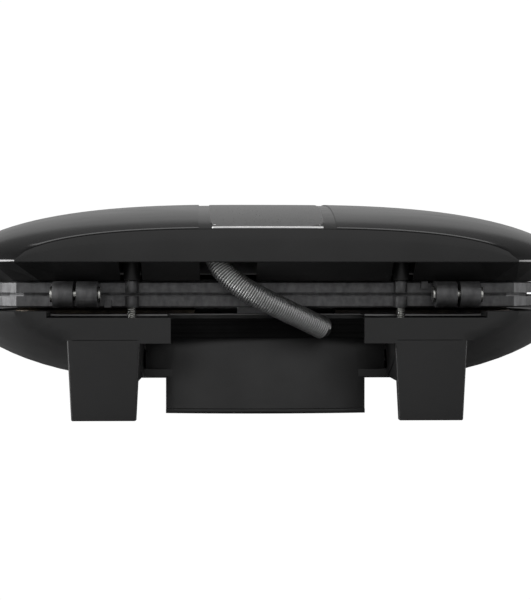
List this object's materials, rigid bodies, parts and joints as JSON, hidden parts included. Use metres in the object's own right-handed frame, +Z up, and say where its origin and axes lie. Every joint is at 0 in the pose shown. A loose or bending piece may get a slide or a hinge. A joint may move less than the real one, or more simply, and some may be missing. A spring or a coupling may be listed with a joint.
{
  "type": "sandwich toaster",
  "caption": "Closed two-slice electric sandwich toaster with a domed lid on a cast rear hinge, a spring-sleeved lead, pocketed plates and a front latch.",
  "frame": {"origin": "centre of the closed toaster's box at the table, under its feet", "axes": "+Z up, +Y to the rear where the hinge is, +X to the right seen from the front"},
  "size_m": [0.252, 0.24, 0.0865],
  "materials": {
    "black_shell": "fine spark-eroded satin black moulding",
    "gloss_lid": "polished black moulding",
    "dark_inner": "dark heat-resistant moulding",
    "cast_plate": "die-cast plate with a dark non-stick coat",
    "sheet_steel": "pressed bright sheet",
    "element_steel": "heat-tinted sheath",
    "inlay_steel": "fine cross-brushed sheet",
    "chrome_trim": "polished folded edge",
    "spring_steel": "close-wound bright wire",
    "zinc_screw": "zinc plated",
    "ceramic": "off-white heat-resistant body",
    "brass_tag": "plain",
    "soft_rubber": "soft moulded",
    "lens_red": "dark red lens",
    "lamp_glass": "clear neon envelope",
    "wire_sheath": "silicone and glass braid sheath"
  },
  "bodies": {
    "base": {"base_shell": "black_shell", "cord_wrap_panel": "black_shell", "rear_baffle": "dark_inner", "lower_reflector": "sheet_steel", "lower_plate": "cast_plate", "lower_element": "element_steel", "lower_element_clamps": "sheet_steel", "thermostat": "ceramic", "thermal_fuse": "ceramic", "terminal_block": "ceramic", "lead_gland": "soft_rubber", "earth_tag": "brass_tag", "base_wires": "wire_sheath", "foot_pads": "soft_rubber", "base_screws": "zinc_screw", "lower_plate_screws": "zinc_screw", "hinge_pin_left": "zinc_screw", "hinge_pin_right": "zinc_screw", "base_ferrule": "soft_rubber", "spring_sleeve": "spring_steel", "link_wires": "wire_sheath"},
    "lid": {"lid_shell": "gloss_lid", "lid_ring": "dark_inner", "inlay_plate": "inlay_steel", "inlay_trim": "chrome_trim", "pilot_lens": "lens_red", "pilot_lamp": "lamp_glass", "upper_reflector": "sheet_steel", "upper_plate": "cast_plate", "upper_element": "element_steel", "upper_element_clamps": "sheet_steel", "upper_plate_screws": "zinc_screw", "lid_screws": "zinc_screw", "lid_ferrule": "soft_rubber", "lid_wires": "wire_sheath", "latch_pin": "zinc_screw"},
    "latch": {"latch_clip": "black_shell"}
  },
  "joints": [
    {"name": "lid_hinge", "type": "hinge", "parent": "base", "child": "lid", "pos_m": [0, 0.11, 0.0468], "axis": [-1, 0, 0], "range_deg": [0, 92], "deforming": ["spring_sleeve", "link_wires"]},
    {"name": "latch_pivot", "type": "hinge", "parent": "lid", "child": "latch", "pos_m": [0, -0.1079, 0.063], "axis": [-1, 0, 0], "range_deg": [-10, 60]}
  ]
}
